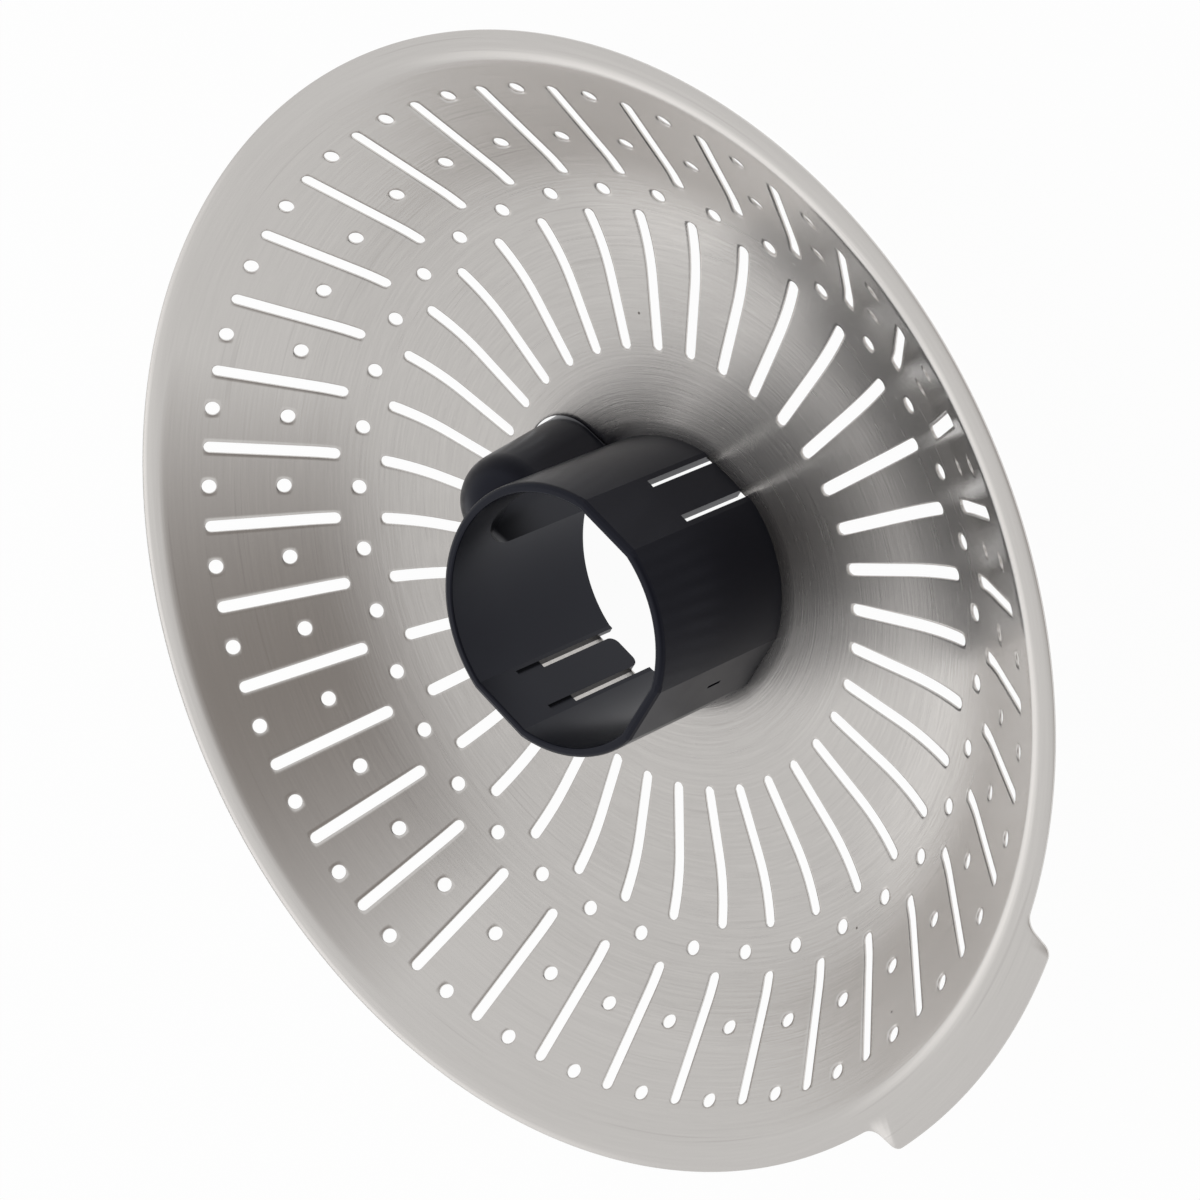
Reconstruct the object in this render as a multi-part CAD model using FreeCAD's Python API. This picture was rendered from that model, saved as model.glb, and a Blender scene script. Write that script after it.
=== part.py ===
import FreeCAD
import Part
import math
import os

# Juicer mesh screen: a pressed and punched steel dish with a lift tab, and a moulded plastic collar
# that snaps into the keyed hole at its centre. Millimetres, +Z up along the collar's axis, +X towards
# the lift tab. The origin is on that axis, in the plane of the collar's foot, which the screen stands on.

# Strainer dish, heights to the middle of the sheet
SHEET = 0.3
RIM_RADIUS = 64.85
FLANGE_HEIGHT = 21.9
FLANGE_BEND = 2.3
FLANGE_WIDTH = 2.6
WALL_ANGLE = 44.5
FLOOR_HEIGHT = 1.8
FLOOR_RADIUS = 16.1
FLOOR_ANGLE = 2.8
BOWL_BEND = 23.8

# Lift tab, drawn on the flange and reaching out past its rim
TAB_REACH = 3.5
TAB_HALF_WIDTH = 17.2
TAB_TAPER = 6.0
TAB_CORNER = 1.3
TAB_ROOT_FILLET = 2.0

# Punched pattern, from the mouth or the sleeve in to the centres of the holes and of the slots' ends
PITCH_COUNT = 36
PATTERN_TURN = 0.3
HOLE_DIAMETER = 1.75
HOLE_INSETS = (17.62, 10.65, 4.26)
SLOT_WIDTH = 1.4
INNER_SLOT_GAP = 10.7
INNER_SLOT_INSET = 20.6
OUTER_SLOT_START_INSET = 15.0
OUTER_SLOT_END_INSET = 4.25

# Flat faces in place of curves where the punched pattern repeats, and round the collar's rim
BEND_STEPS = 4
FLANGE_BEND_STEPS = 2
HOLE_SIDES = 8
SLOT_END_SIDES = 6
RIM_STEPS = 2

# Collar: a sleeve with three flats and one lobe, standing through the dish
SLEEVE_RADIUS = 15.75
SLEEVE_WALL = 1.15
SLEEVE_TOP = 23.0
FLAT_DEPTH = 0.5
RIM_ROUND = 0.55
RIM_INNER_ROUND = 0.25

# Collar lobe: a hollow half-round bulge opposite the tab, that leans in towards its domed top
LOBE_RADIUS = 5.7
LOBE_FOOT_REACH = 2.05
LOBE_TOP_REACH = 0.35
LOBE_DOME_HEIGHT = 13.8
LOBE_GAP = 0.35

# Collar spigot under the dish, snap tongues and marks
SPIGOT_STEP = 0.5
SPIGOT_CLEARANCE = 0.15
TONGUE_WIDTH = 4.55
TONGUE_SLIT = 1.0
TONGUE_SLIT_TOP = 12.7
TONGUE_END = 0.9
TONGUE_CORNER = 1.1
BARB_REACH = 0.9
BARB_LIP = 0.25
BARB_CLEARANCE = 0.1
GROOVE_TOP = 17.2
GROOVE_DEPTH = 0.5
NOTCH_WIDTH = 0.45
NOTCH_LENGTH = 2.2
NOTCH_TOP = 11.6
NOTCH_DEPTH = 0.5

# Places that follow from the sizes above
MOUTH_RADIUS = RIM_RADIUS - FLANGE_WIDTH
TAB_RADIUS = RIM_RADIUS + TAB_REACH
HOLE_RADII = tuple(MOUTH_RADIUS - inset for inset in HOLE_INSETS)
INNER_SLOT_START = SLEEVE_RADIUS + INNER_SLOT_GAP
INNER_SLOT_END = MOUTH_RADIUS - INNER_SLOT_INSET
OUTER_SLOT_START = MOUTH_RADIUS - OUTER_SLOT_START_INSET
OUTER_SLOT_END = MOUTH_RADIUS - OUTER_SLOT_END_INSET
LOBE_FOOT_OFFSET = SLEEVE_RADIUS + LOBE_FOOT_REACH
LOBE_TOP_OFFSET = SLEEVE_RADIUS + LOBE_TOP_REACH

# How far a cutter runs past the faces it opens, how closely edges are matched and faces are joined
OVERRUN = 3.0
MATCH = 0.01
JOIN = 0.0001

UP = FreeCAD.Vector(0, 0, 1)
ORIGIN = FreeCAD.Vector(0, 0, 0)

# Two facets to each pitch, one for its holes and one for its slots. A facet lies as far inside the
# true round at its middle as it lies outside at its corners.
FACET_COUNT = 2 * PITCH_COUNT
FACET_HALF = math.pi / FACET_COUNT
FACET_SCALE = math.sqrt(math.cos(FACET_HALF))


def vec(x, y, z):
    return FreeCAD.Vector(x, y, z)


def polar(radius, degrees, z=0.0):
    angle = math.radians(degrees)
    return vec(radius * math.cos(angle), radius * math.sin(angle), z)


def turned(shape, degrees):
    """A copy of the shape turned about the collar's axis."""
    copy = shape.copy()
    copy.rotate(ORIGIN, UP, degrees)
    return copy


# The dish's section


def section_points(corners):
    """Points (radius, height) of a line through corners (radius, height, bend radius, steps).

    Each bend is a tangent arc, walked in equal steps. The last corner is left out.
    """
    points = [corners[0][:2]]
    for before, corner, after in zip(corners, corners[1:], corners[2:]):
        radius, height, bend, steps = corner
        incoming = math.atan2(height - before[1], radius - before[0])
        outgoing = math.atan2(after[1] - height, after[0] - radius)
        turn = outgoing - incoming
        side = math.copysign(bend, turn)
        setback = bend * math.tan(abs(turn) / 2)
        centre_radius = radius - setback * math.cos(incoming) - side * math.sin(incoming)
        centre_height = height - setback * math.sin(incoming) + side * math.cos(incoming)
        for step in range(steps + 1):
            angle = incoming + turn * step / steps
            points.append((centre_radius + side * math.sin(angle), centre_height - side * math.cos(angle)))
    return points


def section_face(points, across=0.0):
    """Flat face in the XZ plane through points (radius, height), moved across to a Y."""
    corners = [vec(radius, across, height) for radius, height in points]
    return Part.Face(Part.makePolygon(corners + corners[:1]))


class DishSection:
    """Middle line of the sheet: a nearly flat floor, a bowl bend, a straight wall and a flange."""

    def __init__(self):
        self.floor = math.radians(FLOOR_ANGLE)
        self.wall = math.radians(WALL_ANGLE)
        floor_slope = math.tan(self.floor)
        wall_slope = math.tan(self.wall)
        self.foot_radius = ((wall_slope * MOUTH_RADIUS - FLANGE_HEIGHT + FLOOR_HEIGHT
                             - floor_slope * FLOOR_RADIUS) / (wall_slope - floor_slope))
        self.foot_height = FLOOR_HEIGHT + floor_slope * (self.foot_radius - FLOOR_RADIUS)
        setback = BOWL_BEND * math.tan((self.wall - self.floor) / 2)
        self.bend_start = self.foot_radius - setback * math.cos(self.floor)
        self.bend_end = self.foot_radius + setback * math.cos(self.wall)
        self.bend_centre_radius = self.bend_start - BOWL_BEND * math.sin(self.floor)
        start_height = self.foot_height - setback * math.sin(self.floor)
        self.bend_centre_height = start_height + BOWL_BEND * math.cos(self.floor)

    def height(self, radius):
        """Height of the sheet's middle at a radius on the floor, the bend or the wall."""
        if radius <= self.bend_start:
            return self.foot_height + math.tan(self.floor) * (radius - self.foot_radius)
        if radius >= self.bend_end:
            return self.foot_height + math.tan(self.wall) * (radius - self.foot_radius)
        reach = radius - self.bend_centre_radius
        return self.bend_centre_height - math.sqrt(BOWL_BEND ** 2 - reach ** 2)

    def slope(self, radius):
        """Slope of the sheet at a radius, in radians."""
        if radius <= self.bend_start:
            return self.floor
        if radius >= self.bend_end:
            return self.wall
        return math.asin((radius - self.bend_centre_radius) / BOWL_BEND)

    def face_height(self, radius, side):
        """Height of the floor's upper (side 1) or lower (side -1) face at a radius."""
        return self.height(radius) + side * SHEET / 2 / math.cos(self.floor)

    def corners(self, side, inner_radius):
        """Corners of the upper (side 1) or lower (side -1) face line, from the floor outwards."""
        half = side * SHEET / 2
        floor_lift = half / math.cos(self.floor)
        wall_shift = half / math.sin(self.wall)
        floor_slope = math.tan(self.floor)
        wall_slope = math.tan(self.wall)
        foot_shift = (floor_lift - half / math.cos(self.wall)) / (wall_slope - floor_slope)
        foot_radius = self.foot_radius + foot_shift
        foot_height = self.foot_height + floor_lift + floor_slope * foot_shift
        mouth_radius = MOUTH_RADIUS - wall_shift + half / wall_slope
        top = FLANGE_HEIGHT + half
        return [
            (inner_radius, self.height(inner_radius) + floor_lift),
            (foot_radius, foot_height, BOWL_BEND - half, BEND_STEPS),
            (mouth_radius, top, FLANGE_BEND + half, FLANGE_BEND_STEPS),
            (RIM_RADIUS, top),
        ]


SECTION = DishSection()


# The collar's outline, used by the sleeve, the spigot and the dish's keyed hole


def sleeve_wire(radius, flat, z):
    """Closed outline of the sleeve: a circle cut by flats facing the tab and each tongue."""
    half = math.degrees(math.acos(flat / radius))
    edges = []
    for facing in (0, 90, 270):
        edges.append(Part.makeLine(polar(radius, facing - half, z), polar(radius, facing + half, z)))
    for low, high in ((half, 90 - half), (90 + half, 270 - half), (270 + half, 360 - half)):
        arc = Part.Arc(polar(radius, low, z), polar(radius, (low + high) / 2, z), polar(radius, high, z))
        edges.append(arc.toShape())
    return Part.Wire(Part.__sortEdges__(edges))


def sleeve_prism(radius, low, high):
    """Straight solid of the sleeve's outline at a radius, its flats set in by the flats' depth."""
    face = Part.Face(sleeve_wire(radius, radius - FLAT_DEPTH, low))
    return face.extrude(vec(0, 0, high - low))


def lobe_solid(inset, low, domed=True):
    """The lobe's form from a height up, set in by a distance: an arch run out to a nose."""
    radius = LOBE_RADIUS - inset
    lean = math.degrees(math.atan((LOBE_FOOT_OFFSET - LOBE_TOP_OFFSET) / LOBE_DOME_HEIGHT))
    drop = 2 * OVERRUN
    nose = Part.makeCylinder(radius, LOBE_DOME_HEIGHT + drop, vec(-LOBE_FOOT_OFFSET, 0, -drop))
    web = Part.makeBox(LOBE_FOOT_OFFSET, 2 * radius, LOBE_DOME_HEIGHT + drop,
                       vec(-LOBE_FOOT_OFFSET, -radius, -drop))
    arch = Part.makeCylinder(radius, LOBE_FOOT_OFFSET, vec(-LOBE_FOOT_OFFSET, 0, LOBE_DOME_HEIGHT),
                             vec(1, 0, 0))
    pieces = [web, arch]
    if domed:
        pieces.append(Part.makeSphere(radius, vec(-LOBE_FOOT_OFFSET, 0, LOBE_DOME_HEIGHT)))
    solid = nose.multiFuse(pieces).removeSplitter()
    solid.rotate(vec(-LOBE_FOOT_OFFSET, 0, 0), vec(0, 1, 0), lean)
    span = 4 * SLEEVE_RADIUS
    return solid.common(Part.makeBox(span, span, span, vec(-span, -span / 2, low)))


def hole_radius():
    """Radius of the round stretches of the dish's centre hole."""
    return SLEEVE_RADIUS - SPIGOT_STEP + SPIGOT_CLEARANCE


# The dish


def punch(radius, apothem, sides):
    """Many-sided cutter on +X, square to the sheet at a radius, two of its sides facing along Y."""
    slope = SECTION.slope(radius)
    normal = vec(-math.sin(slope), 0, math.cos(slope))
    across = vec(0, 1, 0)
    along = normal.cross(across)
    low = vec(radius, 0, SECTION.height(radius)) - normal * OVERRUN
    corner_radius = apothem / math.cos(math.pi / sides)
    corners = []
    for side in range(sides):
        angle = 2 * math.pi * (side + 0.5) / sides
        sideways = across * (corner_radius * math.cos(angle))
        outwards = along * (corner_radius * math.sin(angle))
        corners.append(low + sideways + outwards)
    return Part.Face(Part.makePolygon(corners + corners[:1])).extrude(normal * (2 * OVERRUN))


def slot_cutter(start, end):
    """Cutter of one radial slot on +X, its sides parallel and its ends square to the sheet."""
    half = SLOT_WIDTH / 2
    outline = []
    for radius, side in ((start, -1), (end, -1), (end, 1), (start, 1)):
        slope = SECTION.slope(radius)
        reach = side * OVERRUN
        outline.append((radius - reach * math.sin(slope), SECTION.height(radius) + reach * math.cos(slope)))
    slab = section_face(outline, -half).extrude(vec(0, SLOT_WIDTH, 0))
    ends = [punch(radius, half, SLOT_END_SIDES) for radius in (start, end)]
    return slab.multiFuse(ends).removeSplitter()


def hole_cutter(radius):
    """Cutter of one hole on +X, as large in area as the round hole."""
    share = math.sqrt(math.pi / (HOLE_SIDES * math.tan(math.pi / HOLE_SIDES)))
    return punch(radius, share * HOLE_DIAMETER / 2, HOLE_SIDES)


def facet_solid(cutters):
    """One facet of the sheet on +X, from inside the centre hole out to the flange, and punched."""
    inner = hole_radius() / 2
    loop = section_points(SECTION.corners(1, inner)) + section_points(SECTION.corners(-1, inner))[::-1]
    scaled = [(radius * FACET_SCALE, height) for radius, height in loop]
    half = RIM_RADIUS * math.tan(FACET_HALF)
    slab = section_face(scaled, -half).extrude(vec(0, 2 * half, 0))
    corners = [vec(0, 0, -OVERRUN), vec(RIM_RADIUS, -half, -OVERRUN), vec(RIM_RADIUS, half, -OVERRUN)]
    wedge = Part.Face(Part.makePolygon(corners + corners[:1])).extrude(vec(0, 0, FLANGE_HEIGHT + 2 * OVERRUN))
    return slab.common(wedge).cut(cutters)


def own_faces(facet):
    """The facet's faces without those it shares: its two radial sides and its end at the flange."""
    end = FACET_SCALE * flat_radius() - MATCH
    kept = []
    for face in facet.Faces:
        points = [vertex.Point for vertex in face.Vertexes]
        turns = [math.atan2(point.y, point.x) for point in points]
        radial = (max(turns) - min(turns)) * RIM_RADIUS < MATCH
        if not radial and min(point.x for point in points) < end:
            kept.append(face)
    return kept


def flat_radius():
    """Radius at which the flange bend ends and the flange is flat."""
    return section_points(SECTION.corners(1, FLOOR_RADIUS))[-1][0]


def lift_tab():
    """Flat tab that stands out of the flange, narrower at its end and rooted where the flange turns flat."""
    taper = math.tan(math.radians(TAB_TAPER))
    root = flat_radius()
    wide = TAB_HALF_WIDTH + taper * (TAB_RADIUS - root)
    angle = math.degrees(math.asin(TAB_HALF_WIDTH / TAB_RADIUS))
    z = FLANGE_HEIGHT - SHEET / 2
    corner_low = polar(TAB_RADIUS, -angle, z)
    corner_high = polar(TAB_RADIUS, angle, z)
    root_x = math.sqrt(root ** 2 - wide ** 2)
    root_low = vec(root_x, -wide, z)
    root_high = vec(root_x, wide, z)
    edges = [
        Part.makeLine(root_low, corner_low),
        Part.Arc(corner_low, vec(TAB_RADIUS, 0, z), corner_high).toShape(),
        Part.makeLine(corner_high, root_high),
        Part.Arc(root_high, vec(root, 0, z), root_low).toShape(),
    ]
    return Part.Face(Part.Wire(edges)).extrude(vec(0, 0, SHEET))


def tab_edges(solid, radius):
    """Short upright edges at the tab's sides, at a radius from the axis."""
    found = []
    for edge in solid.Edges:
        box = edge.BoundBox
        upright = box.ZLength > SHEET - MATCH and max(box.XLength, box.YLength) < MATCH
        beside = box.XMin > 0 and abs(box.YMin) > TAB_HALF_WIDTH / 2
        if upright and beside and abs(math.hypot(box.XMin, box.YMin) - radius) < MATCH:
            found.append(edge)
    return found


def centre_hole():
    """Keyed hole for the collar: the spigot's outline with a way through for the lobe."""
    low = FLOOR_HEIGHT - OVERRUN
    high = FLOOR_HEIGHT + OVERRUN
    hole = sleeve_prism(hole_radius(), low, high)
    slice_box = Part.makeBox(LOBE_FOOT_OFFSET + 2 * LOBE_RADIUS, 4 * LOBE_RADIUS, high - low,
                             vec(-LOBE_FOOT_OFFSET - 2 * LOBE_RADIUS, -2 * LOBE_RADIUS, low))
    return hole.fuse(lobe_solid(-LOBE_GAP, low).common(slice_box))


def flange_faces():
    """Faces of the flat flange and its lift tab, open along the ring of corners where the facets end.

    The fillet at the tab's root takes at most the stretch of the tab's side that its corner leaves.
    """
    low = FLANGE_HEIGHT - SHEET / 2
    root_fillet = min(TAB_ROOT_FILLET, TAB_REACH - TAB_CORNER)
    plate = Part.makeCylinder(RIM_RADIUS, SHEET, vec(0, 0, low)).fuse(lift_tab()).removeSplitter()
    plate = plate.makeFillet(TAB_CORNER, tab_edges(plate, TAB_RADIUS))
    plate = plate.makeFillet(root_fillet, tab_edges(plate, RIM_RADIUS))
    ring = FACET_SCALE * flat_radius() / math.cos(FACET_HALF)
    step = 360 / FACET_COUNT
    corners = [polar(ring, PATTERN_TURN + (index + 0.5) * step, low) for index in range(FACET_COUNT)]
    plate = plate.cut(Part.Face(Part.makePolygon(corners + corners[:1])).extrude(vec(0, 0, SHEET)))
    kept = []
    for face in plate.Faces:
        if max(math.hypot(vertex.X, vertex.Y) for vertex in face.Vertexes) > ring + MATCH:
            kept.append(face)
    return kept


def make_strainer_dish():
    """Facets with holes and facets with slots in turn all round, joined to the flange."""
    pitch = 360 / PITCH_COUNT
    with_holes = own_faces(facet_solid([hole_cutter(radius) for radius in HOLE_RADII]))
    with_slots = own_faces(facet_solid([slot_cutter(INNER_SLOT_START, INNER_SLOT_END),
                                        slot_cutter(OUTER_SLOT_START, OUTER_SLOT_END)]))
    faces = flange_faces()
    for index in range(PITCH_COUNT):
        facing = PATTERN_TURN + index * pitch
        faces += [turned(face, facing) for face in with_holes]
        faces += [turned(face, facing + pitch / 2) for face in with_slots]
    sheet = Part.Compound(faces)
    sheet.sewShape(JOIN)
    solid = Part.Solid(sheet.Shells[0])
    if solid.Volume < 0:
        solid = solid.reversed()
    return solid.cut(centre_hole())


# The collar


def seat_height():
    """Height at which the sleeve rests on the dish: the top of the facets at the sleeve's outside."""
    return SECTION.face_height(SLEEVE_RADIUS / FACET_SCALE, 1)


def keyed_solid(outline):
    """Solid turned from an outline that ends on the axis, trimmed flat facing the tab and each tongue."""
    low = outline[0][1]
    high = outline[-1][1]
    far = 2 * SLEEVE_RADIUS
    solid = section_face([(0.0, low)] + outline).revolve(ORIGIN, UP, 360)
    trimmed = [(radius - FLAT_DEPTH, height) for radius, height in outline]
    trimmer = section_face([(-far, low)] + trimmed + [(-far, high)], -far).extrude(vec(0, 2 * far, 0))
    for facing in (0, 90, 270):
        solid = solid.common(turned(trimmer, facing))
    return solid


def sleeve_outer():
    """Outside of the sleeve, from where it sits on the dish to its rounded free end."""
    low = seat_height()
    corners = [(SLEEVE_RADIUS, low), (SLEEVE_RADIUS, SLEEVE_TOP, RIM_ROUND, RIM_STEPS), (0.0, SLEEVE_TOP)]
    return keyed_solid(section_points(corners) + [(0.0, SLEEVE_TOP)])


def sleeve_bore():
    """Bore of the sleeve, widened by the small round at its free end."""
    bore = SLEEVE_RADIUS - SLEEVE_WALL
    mouth = bore + RIM_INNER_ROUND
    corners = [(bore, -OVERRUN), (bore, SLEEVE_TOP, RIM_INNER_ROUND, RIM_STEPS), (mouth, SLEEVE_TOP)]
    over = [(mouth, SLEEVE_TOP + OVERRUN), (0.0, SLEEVE_TOP + OVERRUN)]
    return keyed_solid(section_points(corners) + over)


def tongue_slits():
    """Slits beside each tongue, open at the foot, and the grooves in the bore above them."""
    middle = (TONGUE_WIDTH + TONGUE_SLIT) / 2
    bore = SLEEVE_RADIUS - SLEEVE_WALL
    cutters = []
    for facing in (90, 270):
        for side in (-1, 1):
            slit = Part.makeBox(SLEEVE_RADIUS, TONGUE_SLIT, TONGUE_SLIT_TOP,
                                vec(bore / 2, side * middle - TONGUE_SLIT / 2, 0))
            groove = Part.makeBox(bore / 2 - FLAT_DEPTH + GROOVE_DEPTH, TONGUE_SLIT, GROOVE_TOP,
                                  vec(bore / 2, side * middle - TONGUE_SLIT / 2, 0))
            cutters.append(turned(slit, facing))
            cutters.append(turned(groove, facing))
    return cutters


def tongue_foot_cutters():
    """Shortens each tongue to clear what the foot stands on, with rounded lower corners."""
    bore = SLEEVE_RADIUS - SLEEVE_WALL
    half = TONGUE_WIDTH / 2
    low = TONGUE_END
    outline = [
        Part.makeLine(vec(0, -half, low + TONGUE_CORNER), vec(0, -half, -OVERRUN)),
        Part.makeLine(vec(0, -half, -OVERRUN), vec(0, half, -OVERRUN)),
        Part.makeLine(vec(0, half, -OVERRUN), vec(0, half, low + TONGUE_CORNER)),
    ]
    inset = TONGUE_CORNER * (1 - math.sqrt(0.5))
    outline.append(Part.Arc(vec(0, half, low + TONGUE_CORNER), vec(0, half - inset, low + inset),
                            vec(0, half - TONGUE_CORNER, low)).toShape())
    outline.append(Part.makeLine(vec(0, half - TONGUE_CORNER, low), vec(0, TONGUE_CORNER - half, low)))
    outline.append(Part.Arc(vec(0, TONGUE_CORNER - half, low), vec(0, inset - half, low + inset),
                            vec(0, -half, low + TONGUE_CORNER)).toShape())
    foot = Part.Face(Part.Wire(Part.__sortEdges__(outline))).extrude(vec(SLEEVE_RADIUS, 0, 0))
    foot.translate(vec(bore / 2, 0, 0))
    return [turned(foot, 90), turned(foot, 270)]


def barbs():
    """Snap barbs on the tongues' outer faces, their shoulders just under the dish."""
    spigot_flat = SLEEVE_RADIUS - SPIGOT_STEP - FLAT_DEPTH
    shoulder = SECTION.face_height(spigot_flat, -1) - BARB_CLEARANCE
    reach = spigot_flat + BARB_REACH
    back = spigot_flat - (SLEEVE_WALL - SPIGOT_STEP) / 2
    outline = Part.makePolygon([
        vec(back, 0, TONGUE_END),
        vec(spigot_flat, 0, TONGUE_END),
        vec(reach, 0, shoulder - BARB_LIP),
        vec(reach, 0, shoulder),
        vec(back, 0, shoulder),
        vec(back, 0, TONGUE_END),
    ])
    outline.translate(vec(0, -TONGUE_WIDTH / 2, 0))
    barb = Part.Face(outline).extrude(vec(0, TONGUE_WIDTH, 0))
    return [turned(barb, 90), turned(barb, 270)]


def flat_notch():
    """Small blind notch in the flat that faces the tab."""
    flat = SLEEVE_RADIUS - FLAT_DEPTH
    return Part.makeBox(NOTCH_DEPTH + SLEEVE_WALL, NOTCH_WIDTH, NOTCH_LENGTH,
                        vec(flat - NOTCH_DEPTH, -NOTCH_WIDTH / 2, NOTCH_TOP - NOTCH_LENGTH))


def make_collar():
    spigot = sleeve_prism(SLEEVE_RADIUS - SPIGOT_STEP, 0, seat_height())
    body = sleeve_outer().fuse(spigot).fuse(lobe_solid(0, 0))
    hollow = sleeve_bore().fuse(lobe_solid(SLEEVE_WALL, -OVERRUN, False))
    body = body.cut(hollow).removeSplitter()
    body = body.fuse(barbs())
    body = body.cut(tongue_slits() + tongue_foot_cutters() + [flat_notch()])
    return body.removeSplitter()


def export(shape, name):
    solids = shape.Solids
    if len(solids) != 1 or not solids[0].isValid():
        raise ValueError(name + " is not one valid solid")
    solids[0].exportStep(os.path.join("parts", name + ".step"))
    print(name, "volume", round(solids[0].Volume, 2), "faces", len(solids[0].Faces))


os.makedirs("parts", exist_ok=True)
export(make_strainer_dish(), "strainer_dish")
export(make_collar(), "collar")
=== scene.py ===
import logging
import math
from dataclasses import dataclass, field
from enum import Enum

import bmesh
import bpy
import numpy as np
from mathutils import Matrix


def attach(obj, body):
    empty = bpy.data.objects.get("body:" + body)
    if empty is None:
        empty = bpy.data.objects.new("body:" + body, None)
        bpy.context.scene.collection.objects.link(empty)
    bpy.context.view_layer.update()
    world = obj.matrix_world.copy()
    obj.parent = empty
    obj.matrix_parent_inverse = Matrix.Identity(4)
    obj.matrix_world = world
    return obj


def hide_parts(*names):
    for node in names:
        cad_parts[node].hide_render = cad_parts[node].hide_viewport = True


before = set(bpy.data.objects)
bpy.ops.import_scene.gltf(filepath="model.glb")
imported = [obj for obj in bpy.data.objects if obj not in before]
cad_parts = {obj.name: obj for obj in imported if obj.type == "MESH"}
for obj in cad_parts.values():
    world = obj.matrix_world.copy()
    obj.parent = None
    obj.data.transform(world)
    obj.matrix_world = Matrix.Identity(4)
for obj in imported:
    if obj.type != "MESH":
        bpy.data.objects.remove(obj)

MM = 0.001
MERGE_DISTANCE = 2e-6
TINY = 1e-6
UNIT = (0.0, 1.0)
WHITE = (1.0, 1.0, 1.0, 1.0)
BRUSH_MAP = "brush"
LOG = logging.getLogger("juicer_mesh_screen")

Colour = tuple[float, float, float, float]
Feed = bpy.types.NodeSocket | tuple[float, ...] | float


class Side(Enum):
    """The two faces of the sheet, as the sign of the way from its middle."""

    UPPER = 1
    LOWER = -1


class Slot(Enum):
    """Material slots of the record."""

    STEEL = "steel"
    PLASTIC = "plastic"


@dataclass
class Patchwork:
    """Grids and strips of points in millimetres, gathered into one closed mesh."""

    points: list[np.ndarray] = field(default_factory=list)
    brush: list[np.ndarray] = field(default_factory=list)
    faces: list[np.ndarray] = field(default_factory=list)
    count: int = 0

    def add(self, points: np.ndarray, brush: np.ndarray, faces: np.ndarray) -> None:
        """Add points, their brush coordinates and the faces that join them.

        Args:
            points: Array of n places.
            brush: Array of n pairs: way round the axis and way along the section.
            faces: Array of rows of indices into the points.
        """
        self.points.append(points)
        self.brush.append(brush)
        self.faces.append(faces + self.count)
        self.count += len(points)

    def add_grid(self, points: np.ndarray, brush: np.ndarray) -> None:
        """Add a grid of rows by columns, each four neighbours joined by one face.

        Args:
            points: Array of rows by columns of places.
            brush: Array of rows by columns of brush coordinates.
        """
        rows, columns = points.shape[:2]
        index = np.arange(rows * columns).reshape(rows, columns)
        quads = np.stack([index[:-1, :-1], index[1:, :-1], index[1:, 1:], index[:-1, 1:]], axis=-1)
        self.add(points.reshape(-1, 3), brush.reshape(-1, 2), quads.reshape(-1, 4))

    def add_strip(self, inner: np.ndarray, outer: np.ndarray, inner_brush: np.ndarray,
                  outer_brush: np.ndarray) -> None:
        """Join two rows where the outer one has a whole number of steps to each step of the inner.

        Args:
            inner: Points of the inner row.
            outer: Points of the outer row.
            inner_brush: Brush coordinates of the inner row.
            outer_brush: Brush coordinates of the outer row.
        """
        ratio = (len(outer) - 1) // (len(inner) - 1)
        first = np.arange(len(inner) - 1)
        fan = first[:, None] * ratio + np.arange(ratio, -1, -1)[None, :] + len(inner)
        faces = np.concatenate([first[:, None], first[:, None] + 1, fan], axis=1)
        self.add(np.concatenate([inner, outer]), np.concatenate([inner_brush, outer_brush]), faces)

    def build(self, name: str) -> bpy.types.Object:
        """Make the object: doubles merged, faces outwards, brush coordinates as its UV map.

        Args:
            name: Name of the piece.

        Returns:
            The object, with its place in its mesh.
        """
        mesh = bpy.data.meshes.new(name)
        rows = [row for faces in self.faces for row in faces.tolist()]
        mesh.from_pydata((np.concatenate(self.points) * MM).tolist(), [], rows)
        loops = np.concatenate([faces.ravel() for faces in self.faces])
        layer = mesh.uv_layers.new(name=BRUSH_MAP)
        layer.data.foreach_set("uv", np.concatenate(self.brush)[loops].ravel().astype(np.float32))
        work = bmesh.new()
        work.from_mesh(mesh)
        bmesh.ops.remove_doubles(work, verts=work.verts, dist=MERGE_DISTANCE)
        bmesh.ops.recalc_face_normals(work, faces=work.faces)
        work.to_mesh(mesh)
        work.free()
        mesh.shade_smooth()
        piece = bpy.data.objects.new(name, mesh)
        bpy.context.scene.collection.objects.link(piece)
        return piece


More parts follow.
